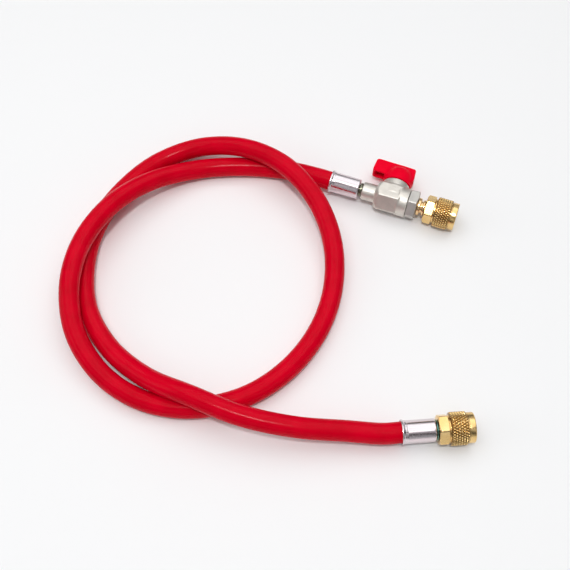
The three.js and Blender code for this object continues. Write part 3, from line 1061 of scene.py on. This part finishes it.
@dataclass
class CouplingNut:
    """Knurled swivel nut: hexagon, neck, diamond-knurled grip, plain rim and threaded socket."""

    name: str
    node: str
    body: Body
    place: Place
    start: float
    corner: float
    length: float = 18.3
    across_flats: float = 14.2
    hex_length: float = 5.1
    hex_chamfer: float = 0.75
    chamfer_circle: float = 13.7
    neck: float = 13.8
    neck_length: float = 0.8
    knurl: float = 16.9
    knurl_length: float = 8.8
    knurl_chamfer: float = 0.5
    knurl_bevel: float = 0.75
    ridges: int = 36
    ridge_angle: float = 30.0
    ridge_depth: float = 0.6
    ridge_width: float = 1.7
    # How steeply and from what depth the painted shade in the knurl's valleys sets in
    valley_shade_rate: float = 2.0
    valley_shade_start: float = 0.9
    rim: float = 15.6
    back_wall: float = 4.0
    bore: float = 7.2
    socket: float = 10.1
    mouth: float = 11.3
    thread_pitch: float = 1.27
    thread_depth: float = 0.5
    thread_start: float = 8.6

    def build(self) -> bpy.types.Object:
        """Builds the nut, and marks how much painted shade each point of the knurl gets from how deep it
        lies.
        """
        back, grip = self.hexagon(), self.grip()
        rings = back + grip + self.front() + self.inside()
        nut = mesh_object(self.name, *skin(rings), 30.0)
        first = sum(len(one) for one in back)
        knurled = np.concatenate(grip)
        radius = np.hypot(knurled[:, 1], knurled[:, 2])
        depth = (self.knurl / 2 - radius) / self.ridge_depth
        # Painted shade: the deeper a knurl point lies, the darker its colour is painted
        dark = np.zeros(len(nut.data.vertices))
        dark[first : first + len(knurled)] = np.clip(depth * self.valley_shade_rate - self.valley_shade_start, 0, 1)
        nut.data.attributes.new(VALLEY_SHADE_ATTRIBUTE, "FLOAT", "POINT").data.foreach_set("value", dark)
        return stand_for(nut, self.node, self.body, NUT_BRASS, self.place)

    def hexagon(self) -> list[np.ndarray]:
        """Builds the rings of the back face, the hexagon and the neck."""
        columns = self.ridges * 6
        corner = self.across_flats / 2 / math.cos(math.radians(30))
        circle = self.chamfer_circle / 2
        neck = self.neck / 2
        profile = [
            (0, self.bore / 2 + 0.3),
            (0, 5.0),
            (0, circle - 0.1),
            *[(self.hex_chamfer * t, circle + (corner - circle) * t) for t in np.linspace(0.04, 1, 9)],
            (1.6, corner),
            (2.6, corner),
            (3.6, corner),
            (self.hex_length - 0.7, corner),
            *[
                (self.hex_length - 0.5 + 0.5 * t, corner - (corner - circle) * t)
                for t in np.linspace(0, 1, 8)
            ],
            (self.hex_length + 0.05, neck + 0.05),
            (self.hex_length + 0.15, neck - 0.05),
            (self.hex_length + self.neck_length - 0.1, neck - 0.05),
        ]
        limit = regular(self.across_flats, 6, self.corner)(turns(columns))
        return [
            ring(self.start + x, soft_least(np.full(columns, radius), limit, 0.08), columns)
            for x, radius in profile
        ]

    def grip(self) -> list[np.ndarray]:
        """Builds the rings of the diamond knurl."""
        columns = self.ridges * 12
        angle = turns(columns)
        start = self.hex_length + self.neck_length
        slant = math.tan(math.radians(self.ridge_angle)) / (self.knurl / 2)
        rows = round(self.knurl_length / (2 * math.pi / columns / slant))
        rings = []
        for along in np.linspace(0, self.knurl_length, rows + 1):
            ridges = []
            for way in (1, -1):
                phase = np.mod((angle + way * along * slant) * self.ridges / (2 * math.pi), 1)
                ridges.append(1 - np.abs(2 * phase - 1))
            height = np.minimum(np.minimum(ridges[0], ridges[1]) * self.ridge_width, 1.0)
            surface = self.knurl / 2 - self.ridge_depth * (1 - height)
            edge = min(along, self.knurl_length - along)
            bevel = self.knurl / 2 - (1 - edge / self.knurl_chamfer) * self.knurl_bevel
            rings.append(ring(self.start + start + along, np.minimum(surface, bevel), columns))
        return rings

    def front(self) -> list[np.ndarray]:
        """Builds the rings of the plain rim and the socket's mouth."""
        knurl_end = self.hex_length + self.neck_length + self.knurl_length
        rim = self.rim / 2
        mouth = self.mouth / 2
        profile = rounded(
            [
                (knurl_end + 0.05, rim - 0.25, 0),
                (knurl_end + 0.3, rim - 0.25, 0.1),
                (knurl_end + 0.5, rim, 0.15),
                (self.length, rim, 0.55),
                (self.length, mouth, 0.25),
                (self.length - (mouth - self.socket / 2), self.socket / 2, 0),
            ],
            5,
        )
        return [ring(self.start + x, radius, self.ridges * 6) for x, radius in profile]

    def inside(self) -> list[np.ndarray]:
        """Builds the rings of the thread, the socket's floor and the bore, from front to back."""
        columns = self.ridges * 3
        angle = turns(columns)
        first = self.length - (self.mouth - self.socket) / 2 - 0.2
        rings = []
        for x in np.arange(first, self.thread_start, -self.thread_pitch / 8):
            phase = np.mod(x / self.thread_pitch - angle / (2 * math.pi), 1)
            tooth = np.clip(1.25 - 2.5 * np.abs(phase - 0.5), 0, 1)
            fade = min(1, (first - x) / 0.6, (x - self.thread_start) / 0.6)
            radius = self.socket / 2 + self.thread_depth * tooth * fade
            rings.append(ring(self.start + x, radius, columns))
        floor = rounded(
            [
                (self.thread_start, self.socket / 2, 0),
                (self.back_wall, self.socket / 2, 0.3),
                (self.back_wall, self.bore / 2, 0.2),
                (0, self.bore / 2, 0.3),
            ],
            3,
        )
        return rings + [ring(self.start + x, radius, columns) for x, radius in floor[:-1]]


@dataclass
class CouplingSeal:
    """Rubber washer in the nut's socket."""

    name: str
    node: str
    place: Place
    start: float
    bore: float = 4.6
    diameter: float = 9.4
    length: float = 1.6

    def build(self) -> bpy.types.Object:
        """Builds the washer."""
        inner, outer = self.bore / 2, self.diameter / 2
        end = self.start + self.length
        back = [(self.start, inner, 0.25), (self.start, outer, 0.25)]
        seal = turned(self.name, rounded(back + [(end, outer, 0.3), (end, inner, 0.3)]), 72)
        return stand_for(seal, self.node, Body.MAIN, SEAL_BLACK, self.place)


@dataclass
class SwivelHead:
    """Neck and head on which a coupling nut turns, as the front end of a tail or adaptor."""

    nut_start: float
    neck: float = 6.6
    head: float = 9.4
    head_length: float = 2.2
    back_wall: float = 4.0
    slip: float = 0.3
    bore: float = 3.2

    def profile(self, neck_start: float) -> list[tuple[float, float, float]]:
        """Lists the corners of the neck and head.

        Args:
            neck_start: Where the neck starts on the axis.

        Returns:
            The corners, with their roundings.
        """
        start = self.nut_start + self.back_wall + self.slip
        end = start + self.head_length
        return [
            (neck_start, self.neck / 2, 0.15),
            (start, self.neck / 2, 0.2),
            (start, self.head / 2, 0.3),
            (end, self.head / 2, 0.3),
            (end, self.bore / 2, 0.2),
        ]

    def seal_start(self) -> float:
        """Returns where the seal starts, a slip's width in front of the head."""
        return self.nut_start + self.back_wall + 2 * self.slip + self.head_length


# End fitting


@dataclass
class EndFitting:
    """Fitting on the hose's plain end: ferrule, tail, seal and swivel nut."""

    place: Place = END_PLACE
    ferrule_length: float = FERRULE_LENGTH
    gap: float = 0.3
    collar: float = 10.6
    collar_length: float = 0.5
    tail: float = 5.2
    stop: float = 1.3
    nut_corner: float = 115.0

    def build(self) -> list[bpy.types.Object]:
        """Builds the fitting's pieces."""
        nut_start = self.ferrule_length + self.gap + self.collar_length + self.gap
        head = SwivelHead(nut_start)
        return [
            Ferrule("end_ferrule_sleeve", "end_ferrule", self.place).build(),
            self.build_tail(head),
            CouplingSeal("end_seal_washer", "end_coupling_seal", self.place, head.seal_start()).build(),
            CouplingNut(
                "end_swivel_nut",
                "end_coupling_nut",
                Body.END_NUT,
                self.place,
                nut_start,
                self.nut_corner,
            ).build(),
        ]

    def build_tail(self, head: SwivelHead) -> bpy.types.Object:
        """Builds the tail with its collar and swivel head.

        Args:
            head: The swivel head.

        Returns:
            The tail.
        """
        start = self.ferrule_length + self.gap
        end = start + self.collar_length
        profile = rounded(
            [
                (self.stop, head.bore / 2, 0.1),
                (self.stop, self.tail / 2, 0.3),
                (start, self.tail / 2, 0.1),
                (start, self.collar / 2, 0.25),
                (end, self.collar / 2, 0.25),
                *head.profile(end),
            ]
        )
        tail = turned("end_tail_collar", profile)
        return stand_for(tail, "end_hose_tail", Body.MAIN, TAIL_TEAL, self.place)


# Valve fitting


@dataclass
class ValveFitting:
    """Fitting on the hose's valve end: ferrule, tail, ball valve, adaptor, seal and swivel nut."""

    place: Place = VALVE_PLACE
    gap: float = 0.3
    stop: float = 1.3
    ferrule_length: float = FERRULE_LENGTH
    tail: float = 5.2
    tail_bore: float = 3.2
    neck: float = 7.8
    neck_length: float = 1.3
    spigot: float = 6.4
    spigot_length: float = 5.6
    inlet: float = 10.3
    inlet_length: float = 8.0
    body_flats: float = 16.0
    hex_length: float = 14.1
    body_chamfer: float = 2.3
    barrel: float = 16.7
    barrel_length: float = 5.0
    boss: float = 16.0
    boss_height: float = 9.1
    stem_from_inlet: float = 9.5
    flow: float = 4.4
    ball: float = 10.0
    stem: float = 5.2
    cap_flats: float = 15.2
    cap_length: float = 5.1
    cap_chamfer: float = 0.5
    cap_corner: float = 55.0
    nut_corner: float = 30.0

    def __post_init__(self) -> None:
        """Works out where each piece starts on the axis, from the hose's end to the nut."""
        self.body_start = self.ferrule_length + 2 * self.gap + self.neck_length
        self.hex_start = self.body_start + self.inlet_length
        self.stem_at = self.hex_start + self.stem_from_inlet
        self.barrel_start = self.hex_start + self.hex_length
        self.cap_start = self.barrel_start + self.barrel_length + self.gap
        self.adaptor_start = self.cap_start + self.cap_length + self.gap
        self.adaptor = Adaptor(self.place, self.adaptor_start)
        self.nut_start = self.adaptor_start + self.adaptor.length() + self.gap
        self.chamber = self.ball + 2 * self.gap

    def build(self) -> list[bpy.types.Object]:
        """Builds the fitting's pieces."""
        head = SwivelHead(self.nut_start)
        keep_node("valve_ball", BALL_CHROME)
        keep_node("valve_stem", STEM_STEEL)
        return [
            Ferrule("valve_ferrule_sleeve", "valve_ferrule", self.place).build(),
            self.build_tail(),
            self.build_body(),
            self.build_cap(),
            self.adaptor.build(head),
            Lever(self.place, self.stem_at).build(),
            LeverScrew(self.place, self.stem_at).build(),
            CouplingSeal(
                "valve_seal_washer", "valve_coupling_seal", self.place, head.seal_start()
            ).build(),
            CouplingNut(
                "valve_swivel_nut",
                "valve_coupling_nut",
                Body.VALVE_NUT,
                self.place,
                self.nut_start,
                self.nut_corner,
            ).build(),
        ]

    def build_tail(self) -> bpy.types.Object:
        """Builds the tail between the ferrule and the valve's body."""
        start = self.ferrule_length + self.gap
        end = start + self.neck_length
        profile = rounded(
            [
                (self.stop, self.tail_bore / 2, 0.1),
                (self.stop, self.tail / 2, 0.3),
                (start, self.tail / 2, 0.1),
                (start, self.neck / 2, 0.2),
                (end, self.neck / 2, 0.2),
                (end, self.spigot / 2, 0.1),
                (end + self.spigot_length, self.spigot / 2, 0.3),
                (end + self.spigot_length, self.tail_bore / 2, 0.1),
            ]
        )
        tail = turned("valve_tail_neck", profile)
        return stand_for(tail, "valve_hose_tail", Body.MAIN, TAIL_OLIVE, self.place)

    def build_body(self) -> bpy.types.Object:
        """Builds the cast body: inlet collar, hexagon, stem boss and barrel, with soft cast edges."""
        end = self.barrel_start + self.barrel_length
        space = Block((self.body_start - 0.7, -9.9, -9.9), (end + 0.7, 10.1, 9.9), 0.21)
        corner = self.body_flats / 2 / math.cos(math.radians(30))
        hexagon = space.flats(self.body_flats, 6, 0, 0.5)
        ends = np.abs(space.x - (self.hex_start + self.barrel_start) / 2) - self.hex_length / 2
        hexagon = soft_most(hexagon, ends, 0.5)
        slope = np.hypot(space.y, space.z) - (corner - self.body_chamfer) - (space.x - self.hex_start)
        hexagon = soft_most(hexagon, slope * math.sqrt(0.5), 0.4)
        body = soft_least(hexagon, space.rod(self.barrel_start - 1, end, self.barrel / 2, 0.6), 0.5)
        body = soft_least(body, space.post(self.stem_at, 0, self.boss_height, self.boss / 2, 0.5), 0.9)
        inlet = space.rod(self.body_start, self.hex_start + self.body_chamfer, self.inlet / 2, 0.7)
        body = soft_least(body, inlet, 0.9)
        inlet_end = self.body_start + self.spigot_length
        chamber_start = self.stem_at - self.ball / 2 - self.gap
        for start, stop, radius in (
            (self.body_start - 2, inlet_end, self.spigot / 2 + self.gap),
            (inlet_end - 1, chamber_start + 1, self.flow / 2),
            (chamber_start, end + 2, self.chamber / 2),
        ):
            body = soft_most(body, -space.rod(start, stop, radius, 0.2), 0.3)
        stem_bore = space.post(self.stem_at, 0, self.boss_height + 2, self.stem / 2 + self.gap, 0.2)
        body = soft_most(body, -stem_bore, 0.3)
        piece = space.mesh("valve_body_casting", body)
        return stand_for(piece, "valve_body", Body.MAIN, VALVE_NICKEL, self.place)

    def build_cap(self) -> bpy.types.Object:
        """Builds the thin hexagon that closes the body, with the spigot that holds the ball."""
        corner = self.cap_flats / 2 / math.cos(math.radians(30))
        end = self.cap_start + self.cap_length
        socket = self.adaptor_start - self.gap - self.adaptor.shank_length
        spigot = self.chamber / 2 - self.gap
        profile = divided(
            rounded(
                [
                    (self.stem_at + self.ball / 2 + self.gap, self.flow / 2, 0.2),
                    (self.stem_at + self.ball / 2 + self.gap, spigot, 0.3),
                    (self.cap_start, spigot, 0.1),
                    (self.cap_start, corner - 0.5, 0.1),
                    (self.cap_start + 0.35, corner, 0.1),
                    (end - self.cap_chamfer, corner, 0.1),
                    (end, corner - 1.5, 0.15),
                    (end, self.adaptor.shank / 2 + self.gap, 0.2),
                    (socket, self.adaptor.shank / 2 + self.gap, 0.1),
                    (socket, self.flow / 2, 0.1),
                ]
            ),
            0.5,
        )
        outline = regular(self.cap_flats, 6, self.cap_corner, 0.15)
        cap = turned("valve_cap_hexagon", profile, 216, outline)
        return stand_for(cap, "valve_end_cap", Body.MAIN, CAP_NICKEL, self.place)


@dataclass
class Adaptor:
    """Brass adaptor between the end cap and the nut: shank, flange, groove, collar and swivel head."""

    place: Place
    start: float
    shank: float = 6.4
    shank_length: float = 4.0
    flange: float = 10.0
    flange_length: float = 1.7
    groove: float = 7.0
    groove_length: float = 1.3
    collar: float = 9.0
    collar_length: float = 1.1

    def length(self) -> float:
        """Returns the length from the flange's back to the collar's front."""
        return self.flange_length + self.groove_length + self.collar_length

    def build(self, head: SwivelHead) -> bpy.types.Object:
        """Builds the adaptor.

        Args:
            head: The swivel head at its front.

        Returns:
            The adaptor.
        """
        groove_start = self.start + self.flange_length
        collar_start = groove_start + self.groove_length
        end = self.start + self.length()
        profile = rounded(
            [
                (self.start - self.shank_length, head.bore / 2, 0.1),
                (self.start - self.shank_length, self.shank / 2, 0.3),
                (self.start, self.shank / 2, 0.1),
                (self.start, self.flange / 2, 0.3),
                (groove_start, self.flange / 2, 0.3),
                (groove_start, self.groove / 2, 0.25),
                (collar_start, self.groove / 2, 0.25),
                (collar_start, self.collar / 2, 0.25),
                (end, self.collar / 2, 0.25),
                *head.profile(end),
            ]
        )
        made = turned("valve_adaptor_turned", profile, 120)
        return stand_for(made, "valve_adaptor", Body.MAIN, ADAPTOR_BRASS, self.place)


@dataclass
class Lever:
    """Red lever: a round domed hub over the stem's boss and a hollow slab towards the hose."""

    place: Place
    stem_at: float
    rim: float = 9.4
    hub: float = 16.6
    hub_straight: float = 3.0
    dome: float = 7.6
    top: float = 21.8
    underside: float = 12.9
    rise: float = 0.7
    thickness: float = 7.0
    reach: float = 16.0
    nose: float = 8.5
    tip_draft: float = 0.7
    nose_draft: float = 0.2
    corner: float = 1.7
    blend: float = 1.8
    wall: float = 1.2
    channel_depth: float = 5.6
    stem: float = 5.8
    stem_flats: float = 4.6
    stem_top: float = 18.5
    well: float = 5.8

    def build(self) -> bpy.types.Object:
        """Builds the lever."""
        at = self.stem_at
        space = Block((at - 17, 8.6, -9.1), (at + 9.3, 23.2, 9.1), 0.19)
        lever = soft_least(self.hub_shape(space), self.slab_shape(space), self.blend)
        half = self.thickness / 2 - self.wall
        channel = space.box(
            (at - self.reach + self.wall + self.tip_draft, self.underside - 3, -half),
            (at - self.hub / 2 - self.wall / 2, self.underside + self.channel_depth, half),
            0.5,
        )
        lever = soft_most(lever, -channel, 0.3)
        stem_hole = space.post(at, self.rim - 3, self.top, self.stem / 2, 0.1)
        stem_hole = soft_most(stem_hole, np.abs(space.x - at) - self.stem_flats / 2, 0.1)
        lever = soft_most(lever, -stem_hole, 0.2)
        well = space.post(at, self.stem_top, self.top + 3, self.well / 2, 0.2)
        lever = soft_most(lever, -well, 0.35)
        piece = space.mesh("valve_lever", lever)
        return stand_for(piece, "valve_handle", Body.LEVER, LEVER_RED, self.place)

    def hub_shape(self, space: Block) -> np.ndarray:
        """Describes the hub.

        Args:
            space: The space in which it is described.

        Returns:
            The distance at each point.
        """
        flat = self.thickness / 2
        width = self.hub / 2 - flat
        outwards = np.maximum(np.hypot(space.x - self.stem_at, space.z) - flat, 0) / width
        upwards = np.maximum(space.y - self.rim - self.hub_straight, 0) / self.dome
        dome = (np.hypot(outwards, upwards) - 1) * width
        return soft_most(dome, self.rim - space.y, 0.35)

    def slab_shape(self, space: Block) -> np.ndarray:
        """Describes the slab, whose two ends lean in towards its top.

        Args:
            space: The space in which it is described.

        Returns:
            The distance at each point.
        """
        x = space.x - self.stem_at
        height = space.y - self.rise * (self.nose - x) / (self.nose + self.reach)
        share = (height - self.underside) / (self.top - self.underside)
        tip = -(x + self.reach - self.tip_draft * share)
        nose = x - self.nose + self.nose_draft * share
        outline = soft_most(np.maximum(tip, nose), height - self.top, self.corner)
        outline = soft_most(outline, self.underside - height, self.corner)
        return soft_most(outline, np.abs(space.z) - self.thickness / 2, 0.5)


@dataclass
class LeverScrew:
    """Cross-recessed screw that holds the lever on its stem."""

    place: Place
    stem_at: float
    start: float = 18.8
    head: float = 5.2
    head_length: float = 2.0
    crown: float = 3.6
    shank: float = 2.6
    shank_end: float = 14.1
    recess: float = 2.9
    recess_width: float = 0.8
    recess_depth: float = 1.1

    def build(self) -> bpy.types.Object:
        """Builds the screw."""
        at = self.stem_at
        top = self.start + self.head_length
        space = Block((at - 3.2, self.shank_end - 0.4, -3.2), (at + 3.2, top + 0.4, 3.2), 0.11)
        screw = soft_most(
            space.post(at, self.start, top + 1, self.head / 2, 0.3),
            np.sqrt((space.x - at) ** 2 + space.z**2 + (space.y - top + self.crown) ** 2) - self.crown,
            0.3,
        )
        shank = space.post(at, self.shank_end, self.start + 0.5, self.shank / 2, 0.3)
        screw = soft_least(screw, shank, 0.3)
        for width, length in ((self.recess_width, self.recess), (self.recess, self.recess_width)):
            low = (at - width / 2, top - self.recess_depth, -length / 2)
            cut = space.box(low, (at + width / 2, top + 1, length / 2), 0.15)
            screw = soft_most(screw, -cut, 0.15)
        piece = space.mesh("lever_screw", screw)
        return stand_for(piece, "handle_screw", Body.LEVER, STEM_STEEL, self.place)


def main() -> None:
    logging.basicConfig(level=logging.INFO, format="%(message)s")
    Studio().build()
    hose = Hose()
    tube, line = hose.build()
    end_pieces = EndFitting().build()
    ValveFitting().build()


if __name__ == "__main__":
    main()
